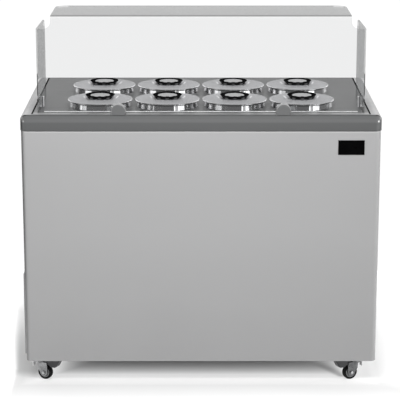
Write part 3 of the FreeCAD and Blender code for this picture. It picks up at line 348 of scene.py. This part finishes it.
def acrylic():
    """Clear sheet: passes light, greyer the flatter it is looked along, with a faint gloss on the face."""
    m = bpy.data.materials.new("clear_acrylic")
    m.use_nodes = True
    t = m.node_tree
    t.nodes.clear()
    out = t.nodes.new("ShaderNodeOutputMaterial")
    tr = t.nodes.new("ShaderNodeBsdfTransparent")
    gl = t.nodes.new("ShaderNodeBsdfPrincipled")
    gl.inputs["Base Color"].default_value = (0.55, 0.56, 0.56, 1.0)
    gl.inputs["Metallic"].default_value = 1.0
    lw = t.nodes.new("ShaderNodeLayerWeight")
    lw.inputs["Blend"].default_value = 0.5
    ramp = t.nodes.new("ShaderNodeValToRGB")
    el = ramp.color_ramp.elements
    stops = [(0.0, 0.911), (0.5, 0.897), (0.76, 0.855), (0.80, 0.795), (0.85, 0.772), (0.885, 0.843), (0.91, 0.861), (0.96, 0.62)]
    while len(el) < len(stops):
        el.new(0.5)
    for e, (p, v) in zip(el, stops):
        e.position = p
        e.color = (v, v * 1.002, v * 1.003, 1.0)
    t.links.new(lw.outputs["Facing"], ramp.inputs[0])
    # the upright folds look darker low down, where they turn the counter's grey towards the front
    where = t.nodes.new("ShaderNodeTexCoord")
    sep = t.nodes.new("ShaderNodeSeparateXYZ")
    t.links.new(where.outputs["Object"], sep.inputs[0])

    def between(v, a, b, c, d):
        lo_, hi_ = t.nodes.new("ShaderNodeMapRange"), t.nodes.new("ShaderNodeMapRange")
        for n, (p0, p1, q0, q1) in ((lo_, (a, b, 0.0, 1.0)), (hi_, (c, d, 1.0, 0.0))):
            n.interpolation_type = "SMOOTHSTEP"
            for i, q in enumerate((p0, p1, q0, q1)):
                n.inputs[i + 1].default_value = q
            t.links.new(v, n.inputs[0])
        mu = t.nodes.new("ShaderNodeMath")
        mu.operation = "MULTIPLY"
        t.links.new(lo_.outputs[0], mu.inputs[0])
        t.links.new(hi_.outputs[0], mu.inputs[1])
        return mu.outputs[0]

    ab = t.nodes.new("ShaderNodeMath")
    ab.operation = "ABSOLUTE"
    t.links.new(sep.outputs[0], ab.inputs[0])
    fold = t.nodes.new("ShaderNodeMath")
    fold.operation = "MULTIPLY"
    t.links.new(between(ab.outputs[0], 0.5404, 0.5412, 0.5452, 0.5460), fold.inputs[0])
    t.links.new(between(sep.outputs[2], 1.000, 1.006, 1.0735, 1.0785), fold.inputs[1])
    front = t.nodes.new("ShaderNodeMath")
    front.operation = "MULTIPLY"
    t.links.new(fold.outputs[0], front.inputs[0])
    t.links.new(between(sep.outputs[1], -0.330, -0.325, -0.311, -0.308), front.inputs[1])
    dim = t.nodes.new("ShaderNodeMix")
    dim.data_type = "RGBA"
    t.links.new(front.outputs[0], dim.inputs[0])
    t.links.new(ramp.outputs[0], dim.inputs[6])
    dim.inputs[7].default_value = (0.20, 0.202, 0.202, 1.0)

    # the flap's fold: a painted dark line where the bend begins and painted light lines below it; the sawn rear ends
    # are duller
    def both(p, q):
        mu = t.nodes.new("ShaderNodeMath")
        mu.operation = "MULTIPLY"
        t.links.new(p, mu.inputs[0])
        t.links.new(q, mu.inputs[1])
        return mu.outputs[0]

    yy, zz = sep.outputs[1], sep.outputs[2]
    passes = dim.outputs[2]
    lean = t.nodes.new("ShaderNodeMath")         # painted clearer low on the side walls
    lean.operation = "MULTIPLY_ADD"
    t.links.new(yy, lean.inputs[0])
    lean.inputs[1].default_value = 0.171
    t.links.new(zz, lean.inputs[2])
    for mask, v in ((both(both(between(yy, -0.3096, -0.3090, 0.5, 0.6), between(ab.outputs[0], 0.5380, 0.5390, 1.0, 1.1)),
                          between(lean.outputs[0], 0.50, 0.51, 1.0055, 1.0080)), 0.955),
                    (both(both(between(yy, -0.3300, -0.3250, -0.3090, -0.3085), between(ab.outputs[0], 0.5360, 0.5370, 1.0, 1.1)),
                          between(zz, 0.90, 0.91, 0.9900, 0.9960)), 0.970),
                    (both(between(yy, -0.3140, -0.3132, -0.2995, -0.2960), between(zz, 1.2682, 1.2688, 1.30, 1.31)), 0.49),
                    (both(between(yy, -0.3300, -0.3250, -0.3090, -0.3085), between(zz, 1.2652, 1.2658, 1.2682, 1.2688)), 0.985),
                    (both(between(yy, -0.3300, -0.3250, -0.3090, -0.3085), between(zz, 1.2618, 1.2632, 1.2652, 1.2658)), 0.97),
                    (both(between(yy, -0.0674, -0.0671, 1.0, 1.1), between(zz, 1.2640, 1.2645, 1.2680, 1.2686)), 0.60),
                    (between(yy, -0.0374, -0.0371, 1.0, 1.1), 0.66)):
        mx = t.nodes.new("ShaderNodeMix")
        mx.data_type = "RGBA"
        t.links.new(mask, mx.inputs[0])
        t.links.new(passes, mx.inputs[6])
        mx.inputs[7].default_value = (v, v * 1.002, v * 1.003, 1.0)
        passes = mx.outputs[2]
    t.links.new(passes, tr.inputs[0])
    fr = t.nodes.new("ShaderNodeFresnel")
    fr.inputs["IOR"].default_value = 1.3
    gain = t.nodes.new("ShaderNodeMath")
    gain.operation = "MULTIPLY"
    gain.inputs[1].default_value = 0.35
    t.links.new(fr.outputs[0], gain.inputs[0])
    co = t.nodes.new("ShaderNodeTexCoord")
    nz = t.nodes.new("ShaderNodeTexNoise")
    nz.inputs["Scale"].default_value = 14.0
    nz.inputs["Detail"].default_value = 3.0
    t.links.new(co.outputs["Object"], nz.inputs["Vector"])
    mr = t.nodes.new("ShaderNodeMapRange")
    for i, v in enumerate((0.3, 0.7, 0.03, 0.09)):
        mr.inputs[i + 1].default_value = v
    t.links.new(nz.outputs["Fac"], mr.inputs[0])
    t.links.new(mr.outputs[0], gl.inputs["Roughness"])
    mix = t.nodes.new("ShaderNodeMixShader")
    t.links.new(gain.outputs[0], mix.inputs[0])
    t.links.new(tr.outputs[0], mix.inputs[1])
    t.links.new(gl.outputs[0], mix.inputs[2])
    t.links.new(mix.outputs[0], out.inputs[0])
    return m


MATS["acrylic"] = acrylic()

# ---------------------------------------------------- finishes on CAD nodes
NODE_MAT = {
    "outer_shell": "paint", "rear_panel": "paint", "base_pan": "zinc", "insulation_foam": "foam", "inner_tank": "tank",
    "evaporator_coil": "copper", "top_frame": "frame", "top_plate": "counter", "well_collars": "collar",
    "sneeze_guard": "acrylic", "guard_posts": "post_painted_stripes", "guard_screws": "black", "badge_plate": "badge",
    "side_grille": "grille", "compressor": "machine", "condenser_coil": "copper", "fan_shroud": "machine",
    "fan_motor": "zinc", "fan_blades": "black", "refrigerant_lines": "copper", "control_panel": "black",
    "thermostat_knob": "black", "power_switch": "gloss_black", "cord_gland": "black", "caster_plates": "zinc",
    "caster_bolts": "bolt", "brake_pedal_front_left": "pedal", "brake_pedal_front_right": "pedal",
}
for k in ("front_left", "front_right", "rear_left", "rear_right"):
    NODE_MAT["caster_fork_" + k] = "fork" if k.endswith("left") else "fork_shaded"
    NODE_MAT["caster_wheel_" + k] = "rubber"
for i in range(1, 9):
    NODE_MAT["tub_%d" % i] = "tub"
    NODE_MAT["lid_%d" % i] = "lid_top"
    NODE_MAT["lid_knob_%d" % i] = "gloss_black"
for name, ob in NODES.items():
    ob.data.materials.clear()
    ob.data.materials.append(MATS[NODE_MAT[name]])


# ------------------------------------------------------------ mesh helpers
def add(name, mesh, body, replaces=(), loc=(0, 0, 0), rot=(0, 0, 0)):
    ob = bpy.data.objects.new(name, mesh)
    ob.location = Vector(loc) * MM
    ob.rotation_euler = rot
    scene.collection.objects.link(ob)
    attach(ob, body)
    if replaces:
        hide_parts(*replaces)
    return ob


def finish_mesh(bm, name, mats, angle=32.0):
    mesh = bpy.data.meshes.new(name)
    bmesh.ops.recalc_face_normals(bm, faces=bm.faces)
    bm.to_mesh(mesh)
    bm.free()
    for mm in mats:
        mesh.materials.append(MATS[mm])
    for p in mesh.polygons:
        p.use_smooth = True
    mesh.set_sharp_from_angle(angle=math.radians(angle))
    return mesh


def lathe(bm, profile, segs=96, axis="Z", centre=(0, 0, 0), mat=0, phase=0.0):
    """Revolves a closed ring of (r, h) points, or (r, h, material), in mm; points with r = 0 close on the axis."""
    rings = []
    for q in profile:
        r, h = q[0], q[1]
        if r < 1e-6:
            co = [(0.0, 0.0, h)]
        else:
            co = [(r * math.cos(phase + 2 * math.pi * i / segs), r * math.sin(phase + 2 * math.pi * i / segs), h) for i in range(segs)]
        row = []
        for x, y, z in co:
            if axis == "Y":
                x, y, z = x, z, -y
            elif axis == "X":
                x, y, z = z, x, y
            row.append(bm.verts.new(((x + centre[0]) * MM, (y + centre[1]) * MM, (z + centre[2]) * MM)))
        rings.append(row)
    n = len(rings)
    for k in range(n):
        a, b = rings[k], rings[(k + 1) % n]
        mi = profile[(k + 1) % n][2] if len(profile[(k + 1) % n]) > 2 else mat
        if len(a) == 1 and len(b) == 1:
            continue
        for i in range(segs):
            j = (i + 1) % segs
            if len(a) == 1:
                f = bm.faces.new((a[0], b[j], b[i]))
            elif len(b) == 1:
                f = bm.faces.new((a[i], a[j], b[0]))
            else:
                f = bm.faces.new((a[i], a[j], b[j], b[i]))
            f.material_index = mi
    return rings


def arc(cx, cz, r, a0, a1, steps, mat=None):
    out = []
    for i in range(steps + 1):
        a = math.radians(a0 + (a1 - a0) * i / steps)
        p = (cx + r * math.cos(a), cz + r * math.sin(a))
        out.append(p if mat is None else p + (mat,))
    return out


# ------------------------------------------------------------------- lids
def lid_mesh():
    """Pressed lid: flat satin top, thin rolled rim, short polished skirt that flares towards its foot."""
    bm = bmesh.new()
    zt, seat = LID_TOP, TOP + 0.4
    er = 2.2
    out = [(0.0, zt, 0), (30.0, zt, 0), (60.0, zt, 0), (80.0, zt, 0), (100.0, zt, 0), (106.8, zt, 0)]
    # the rim's underside and the neck carry the dark steel: painted shade under the rim
    out += [q + (1,) for q in arc(110.0 - er, zt - er, er, 90, -30, 10)] + [q + (2,) for q in arc(110.0 - er, zt - er, er, -40, -90, 4)]
    out += [(103.4, zt - 2 * er - 0.1, 2), (101.9, zt - 2 * er - 0.5, 2), (101.3, zt - 2 * er - 1.3, 2), (101.5, zt - 2 * er - 2.4, 2), (101.6, zt - 2 * er - 3.0, 2)]
    out += [(104.4, seat + 0.5, 1), (104.5, seat + 0.2, 1), (104.3, seat, 1)]
    inn = [(103.5, seat, 1), (100.4, zt - 6.6, 1), (100.3, zt - 3.0, 1), (99.4, zt - 1.4, 1), (98.0, zt - 1.2, 1), (0.0, zt - 1.2, 1)]
    lathe(bm, out + inn, 128)
    return finish_mesh(bm, "lid", ["lid_top", "lid_polish", "lid_neck"], 40.0)


def knob_mesh():
    """Black grip that flares upwards; finger lobes stand round a bright disc let into its top."""
    bm = bmesh.new()
    z0, kt = LID_TOP + 0.05, LID_TOP + 14.6
    prof = [(0.0, z0, 3), (36.0, z0, 3), (37.0, z0 + 0.3, 3), (37.4, z0 + 2.7, 3), (38.4, z0 + 2.8, 0), (43.4, z0 + 7.6, 0), (48.7, kt - 1.7, 0), (49.3, kt - 0.9, 0), (49.5, kt - 0.4, 0),
            (49.3, kt - 0.1, 2), (48.9, kt, 2), (46.5, kt, 2), (34.0, kt - 2.2, 2), (33.0, kt - 2.8, 2), (32.9, kt - 3.4, 2), (0.0, kt - 3.4, 2)]
    lathe(bm, prof, 120)
    for v in bm.verts:          # square-shouldered at the foot, round at the top
        r, h = v.co.xy.length / MM, v.co.z / MM
        if r > 35.5 and h < kt - 1.6:
            n = 5.0 - 3.0 * (h - z0) / (kt - 1.7 - z0)
            c, q = abs(v.co.x) / MM / r, abs(v.co.y) / MM / r
            k = (c ** n + q ** n) ** (-1.0 / n)
            v.co.x, v.co.y = v.co.x * k, v.co.y * k
    for k in range(10):
        a = math.radians(36.0 * k + 18.0)
        c = Vector((40.5 * math.cos(a), 40.5 * math.sin(a), kt - 1.3))
        ret = bmesh.ops.create_uvsphere(bm, u_segments=20, v_segments=12, radius=1.0)
        rotm = Matrix.Rotation(a, 4, "Z")
        for v in ret["verts"]:
            p = rotm @ Vector((v.co.x * 4.8, v.co.y * 7.4, v.co.z * 1.8))
            v.co = (p + c) * MM
            for f in v.link_faces:
                f.material_index = 2
    disc = [(0.0, kt - 3.35, 1), (32.8, kt - 3.35, 1), (32.8, kt - 2.2, 1), (32.2, kt - 1.8, 1), (30.2, kt - 1.7, 1), (29.0, kt - 1.9, 1), (0.0, kt - 1.9, 1)]
    lathe(bm, disc, 96)
    return finish_mesh(bm, "knob", ["grip_black", "disc", "matte_black", "lid_top"], 40.0)


def tub_mesh():
    """Drawn steel tub with a rolled lip and a rounded foot."""
    bm = bmesh.new()
    rim = TOP + 2.3
    bot = rim - 250.0
    prof = [(0.0, bot), (88.0, bot)] + arc(90.0, bot + 8.0, 8.0, -90, 0, 10)[1:] + [(98.0, rim - 1.0), (98.4, rim)]
    prof += [(101.0, rim)] + arc(101.4, rim + 0.7, 0.7, -90, 90, 8) + [(98.4, rim + 1.4), (97.2, rim + 1.0), (96.8, rim - 0.4)]
    prof += arc(90.0, bot + 8.0, 6.8, 0, -90, 10) + [(0.0, bot + 1.2)]
    lathe(bm, prof, 128)
    return finish_mesh(bm, "tub", ["tub"], 40.0)


LID, KNOB, TUB = lid_mesh(), knob_mesh(), tub_mesh()
for i, (x, y) in enumerate(WELLS, 1):
    add("lid_pressed_%d" % i, LID, "lid_%d" % i, ("lid_%d" % i,), (x, y, 0))
    add("knob_grip_%d" % i, KNOB, "lid_%d" % i, ("lid_knob_%d" % i,), (x, y, 0))
    add("tub_drawn_%d" % i, TUB, "tub_%d" % i, ("tub_%d" % i,), (x, y, 0))


# ----------------------------------------------- dark joint beside the plate
def seal_mesh():
    bm = bmesh.new()
    for sx in (-1, 1):
        x0, x1 = 560.05, 563.95
        sec = [(x0, TOP - 2.95), (x1, TOP - 2.95), (x1, TOP + 0.05), (x1 + 0.9, TOP + 0.12), (x1 + 0.4, TOP + 0.5), (x0 - 0.4, TOP + 0.5), (x0 - 0.9, TOP + 0.12), (x0, TOP + 0.05)]
        ends = []
        for y in (-331.0, 331.0):
            ends.append([bm.verts.new((sx * x * MM, y * MM, z * MM)) for x, z in sec])
        for i in range(len(sec)):
            j = (i + 1) % len(sec)
            bm.faces.new((ends[0][i], ends[0][j], ends[1][j], ends[1][i]))
        bm.faces.new(ends[0])
        bm.faces.new(ends[1][::-1])
    return finish_mesh(bm, "plate_joint", ["seal"], 20.0)


add("plate_joint_strips", seal_mesh(), "cabinet")


# ------------------------------------------------------------------ wheels
CASTER_XL, CASTER_XR, CASTER_Y, TRAIL, WHEEL_R = 557.0, 534.0, 288.0, 20.0, 26.0
YAW = {"front_left": -25.0, "front_right": -155.0, "rear_left": 40.0, "rear_right": 155.0}


def wheel_mesh():
    """Moulded hub with webs and a rounded rubber tread; the axle runs along Y."""
    bm = bmesh.new()
    tyre = [(18.5, -8.6), (20.2, -9.1), (21.4, -9.35), (22.6, -9.2), (24.2, -8.5), (25.3, -7.2), (25.85, -5.4), (26.0, -3.0), (26.0, 3.0), (25.85, 5.4),
            (25.3, 7.2), (24.2, 8.5), (22.6, 9.2), (21.4, 9.35), (20.2, 9.1), (18.5, 8.6)]
    lathe(bm, tyre, 96, axis="Y")
    hub = [(4.06, -10.3, 1), (8.2, -10.3, 1), (8.9, -9.6, 1), (9.1, -4.2, 1), (15.2, -3.4, 1), (15.9, -7.6, 1), (16.4, -8.3, 1), (18.0, -8.3, 1), (18.5, -7.8, 1),
           (18.5, 7.8, 1), (18.0, 8.3, 1), (16.4, 8.3, 1), (15.9, 7.6, 1), (15.2, 3.4, 1), (9.1, 4.2, 1), (8.9, 9.6, 1), (8.2, 10.3, 1), (4.06, 10.3, 1)]
    lathe(bm, hub, 72, axis="Y")
    for k in range(6):
        a = math.radians(60 * k)
        for sy in (-1, 1):
            vs = []
            for r, w in ((8.8, 1.3), (16.1, 1.0)):
                for s in (-1, 1):
                    for h in (3.4, 7.2):
                        p = Vector((r, s * w, 0))
                        c, sn = math.cos(a), math.sin(a)
                        vs.append(bm.verts.new(((p.x * c - p.y * sn) * MM, sy * h * MM, (p.x * sn + p.y * c) * MM)))
            for q in ((0, 1, 3, 2), (4, 6, 7, 5), (0, 4, 5, 1), (2, 3, 7, 6), (1, 5, 7, 3), (0, 2, 6, 4)):
                bm.faces.new([vs[i] for i in q]).material_index = 1
    return finish_mesh(bm, "wheel", ["rubber", "hub"], 35.0)


def axle_caps():
    """Bright domed ends of the axle bolt, outside both fork legs."""
    bm = bmesh.new()
    for sy in (-1, 1):
        lathe(bm, [(0.0, sy * 17.5), (5.4, sy * 17.5), (5.2, sy * 18.1), (3.8, sy * 18.9), (0.0, sy * 19.3)], 32, axis="Y")
    return finish_mesh(bm, "axle_caps", ["zinc"], 40.0)


WHEEL, CAPS = wheel_mesh(), axle_caps()
for k, yaw in YAW.items():
    bx = -CASTER_XL if k.endswith("left") else CASTER_XR
    by = -CASTER_Y if k.startswith("front") else CASTER_Y
    a = math.radians(yaw)
    add("wheel_%s_tread" % k, WHEEL, "wheel_" + k, ("caster_wheel_" + k,),
        (bx + TRAIL * math.cos(a), by + TRAIL * math.sin(a), WHEEL_R), (0, 0, a))
    add("axle_%s_caps" % k, CAPS, "fork_" + k, (), (bx + TRAIL * math.cos(a), by + TRAIL * math.sin(a), WHEEL_R), (0, 0, a))


# ------------------------------------------------------------------- stage
# glow of the floor, with the cabinet's shadow painted into it, against the distance from the cabinet's outline (-0.30
# m inside ... 0.70 m outside)
FLOOR_GLOW_AND_SHADOW = [(0.0, 0.03), (0.086, 0.048), (0.127, 0.132), (0.169, 0.29), (0.219, 0.62), (0.30, 0.39), (0.32, 0.31), (0.41, 0.42), (0.50, 0.58), (1.0, 1.0)]


def make_floor():
    bm = bmesh.new()
    bmesh.ops.create_grid(bm, x_segments=2, y_segments=2, size=1.0)
    for v in bm.verts:
        v.co = (v.co.x * 1.4, v.co.y * 0.75 + 0.238, 0.0)
    mesh = bpy.data.meshes.new("floor")
    bm.to_mesh(mesh)
    bm.free()
    m = Mat("pale_floor")
    m.link(m.ramp(m.noise(2.0, 2.0), [(0.3, (0.40, 0.40, 0.40)), (0.7, (0.41, 0.41, 0.41))]), m.p.inputs["Base Color"])
    m.p.inputs["Roughness"].default_value = 0.7
    m.p.inputs["Specular IOR Level"].default_value = 0.1
    # glows like a light table, with painted shadow fading it out under and round the cabinet
    x, y, z = m.xyz()
    dx = m.math("SUBTRACT", m.math("ABSOLUTE", x), 0.600)
    dy = m.math("SUBTRACT", m.math("ABSOLUTE", y), 0.345)
    far = m.math("MAXIMUM", dx, dy)
    glow_and_shadow = m.ramp(m.range(far, -0.30, 0.70, 0.0, 1.0), FLOOR_GLOW_AND_SHADOW)
    # painted shadow along the left side, and the open floor beyond it white
    left_shadow = m.math("MULTIPLY", m.range(x, -0.585, -0.500, 0.55, 0.0, True), m.range(y, -0.285, -0.215, 0.0, 1.0, True))
    left_shadow = m.math("MULTIPLY", left_shadow, m.range(y, -0.05, 0.45, 1.0, 0.0, True))
    rear = m.math("MAXIMUM", m.math("ADD", y, 0.20), 0.0)
    lean = m.math("ADD", x, m.math("MULTIPLY", rear, 0.09))
    open_ = m.math("DIVIDE", m.math("SUBTRACT", -0.638, lean), m.math("ADD", 0.034, m.math("MULTIPLY", rear, 0.06)))
    glow_and_shadow = m.math("ADD", m.math("MULTIPLY", glow_and_shadow, m.math("SUBTRACT", 1.0, left_shadow)), m.range(open_, 0.0, 1.0, 0.0, 0.9, True))
    # painted light lifts the shadow beside the right front wheel; painted shade darkens the floor in front of the
    # right half
    clear = m.math("ADD", m.range(x, 0.510, 0.585, 0.0, 0.10, True), m.range(x, 0.590, 0.680, 0.0, 0.05, True))
    glow_and_shadow = m.math("ADD", glow_and_shadow, m.math("MULTIPLY", clear, m.range(y, -0.355, -0.315, 0.0, 1.0, True)))
    glow_and_shadow = m.math("SUBTRACT", glow_and_shadow, m.math("MULTIPLY", m.range(x, 0.20, 0.60, 0.0, 0.055, True), m.range(y, -0.400, -0.355, 1.0, 0.0, True)))
    # painted shadow: a soft band runs back and inwards from the right front wheel
    run = m.math("DIVIDE", m.math("ADD", y, 0.290), 0.170)
    gap = m.math("ABSOLUTE", m.math("SUBTRACT", m.math("ADD", x, m.math("MULTIPLY", run, 0.092)), 0.500))
    wide = m.math("ADD", 0.024, m.math("MULTIPLY", run, 0.022))
    wheel_shadow = m.math("MULTIPLY", m.range(m.math("DIVIDE", gap, wide), 0.1, 1.0, 0.58, 0.0, True),
                  m.math("MULTIPLY", m.range(run, 0.00, 0.12, 0.0, 1.0, True), m.range(run, 0.55, 1.05, 1.0, 0.0, True)))
    glow_and_shadow = m.math("MULTIPLY", glow_and_shadow, m.math("SUBTRACT", 1.0, wheel_shadow))
    m.link(glow_and_shadow, m.p.inputs["Emission Color"])
    m.p.inputs["Emission Strength"].default_value = 1.0
    mesh.materials.append(m.m)
    ob = bpy.data.objects.new("floor", mesh)
    scene.collection.objects.link(ob)


make_floor()


def make_world():
    """Studio surroundings: pale behind and above, a dark room in front with upright light panels left and right."""
    w = bpy.data.worlds.new("studio")
    scene.world = w
    w.use_nodes = True
    t = w.node_tree
    t.nodes.clear()
    out = t.nodes.new("ShaderNodeOutputWorld")
    bg = t.nodes.new("ShaderNodeBackground")
    t.links.new(bg.outputs[0], out.inputs[0])
    co = t.nodes.new("ShaderNodeTexCoord")
    sep = t.nodes.new("ShaderNodeSeparateXYZ")
    t.links.new(co.outputs["Generated"], sep.inputs[0])

    def mth(op, a, b=None, clamp=False):
        n = t.nodes.new("ShaderNodeMath")
        n.operation = op
        n.use_clamp = clamp
        for i, v in enumerate((a, b)):
            if v is None:
                continue
            if hasattr(v, "node"):
                t.links.new(v, n.inputs[i])
            else:
                n.inputs[i].default_value = v
        return n.outputs[0]

    def step(v, a, b):
        n = t.nodes.new("ShaderNodeMapRange")
        n.interpolation_type = "SMOOTHSTEP"
        n.inputs[1].default_value, n.inputs[2].default_value = a, b
        n.inputs[3].default_value, n.inputs[4].default_value = 0.0, 1.0
        t.links.new(v, n.inputs[0])
        return n.outputs[0]

    x, y, z = sep.outputs
    az = mth("MULTIPLY", mth("ARCTAN2", x, mth("MULTIPLY", y, -1.0)), 180.0 / math.pi)      # 0 towards the camera, + to the right
    el = mth("MULTIPLY", mth("ARCSINE", z), 180.0 / math.pi)

    def window(v, a, b, soft):
        return mth("MULTIPLY", step(v, a - soft, a + soft), mth("SUBTRACT", 1.0, step(v, b - soft, b + soft)))

    side = mth("ABSOLUTE", az)
    wall = mth("ADD", mth("MULTIPLY", step(side, 112.0, 134.0), 0.78), mth("MULTIPLY", window(side, 134.0, 158.0, 3.0), 1.3))
    total = mth("ADD", mth("MULTIPLY", wall, window(el, -6.0, 48.0, 8.0)), 0.10)     # pale wall behind, brighter at its two ends
    for a, b, e0, e1, gain in ((42.0, 68.0, -30.0, 40.0, 3.2), (26.0, 31.0, -30.0, 40.0, 2.6), (32.0, 41.0, -30.0, 40.0, 0.8), (70.0, 128.0, -40.0, 30.0, 0.16), (-49.0, 24.0, -40.0, 30.0, 0.13)):
        total = mth("ADD", total, mth("MULTIPLY", mth("MULTIPLY", window(az, a, b, 1.0), window(el, e0, e1, 3.0)), gain))
    soft = mth("MULTIPLY", step(az, -84.0, -74.0), mth("SUBTRACT", 1.0, step(az, -52.0, -50.0)))
    total = mth("ADD", total, mth("MULTIPLY", mth("MULTIPLY", soft, window(el, -30.0, 40.0, 3.0)), 1.7))
    path = t.nodes.new("ShaderNodeLightPath")
    mx = t.nodes.new("ShaderNodeMix")
    mx.data_type = "FLOAT"
    t.links.new(path.outputs["Is Camera Ray"], mx.inputs[0])
    t.links.new(total, mx.inputs[2])
    mx.inputs[3].default_value = 1.3
    t.links.new(mx.outputs[0], bg.inputs["Strength"])


make_world()


def area(name, loc, aim, size, power, spread=180.0):
    l = bpy.data.lights.new(name, "AREA")
    l.shape = "RECTANGLE"
    l.size, l.size_y = size
    l.energy = power
    l.spread = math.radians(spread)
    ob = bpy.data.objects.new(name, l)
    ob.location = loc
    ob.rotation_euler = (Vector(aim) - Vector(loc)).to_track_quat("-Z", "Y").to_euler()
    ob.visible_camera = False
    ob.visible_glossy = False
    scene.collection.objects.link(ob)
    return ob


area("overhead", (0.3, -0.2, 4.2), (0.0, 0.0, 0.6), (4.0, 4.0), 110.0)
area("right_edge", (2.6, 0.25, 0.75), (0.6, -0.25, 0.6), (0.8, 1.2), 14.0, 120.0)
area("key", (-0.15, -2.3, 3.0), (0.0, -0.3, 1.1), (2.4, 0.8), 43.5, 100.0)
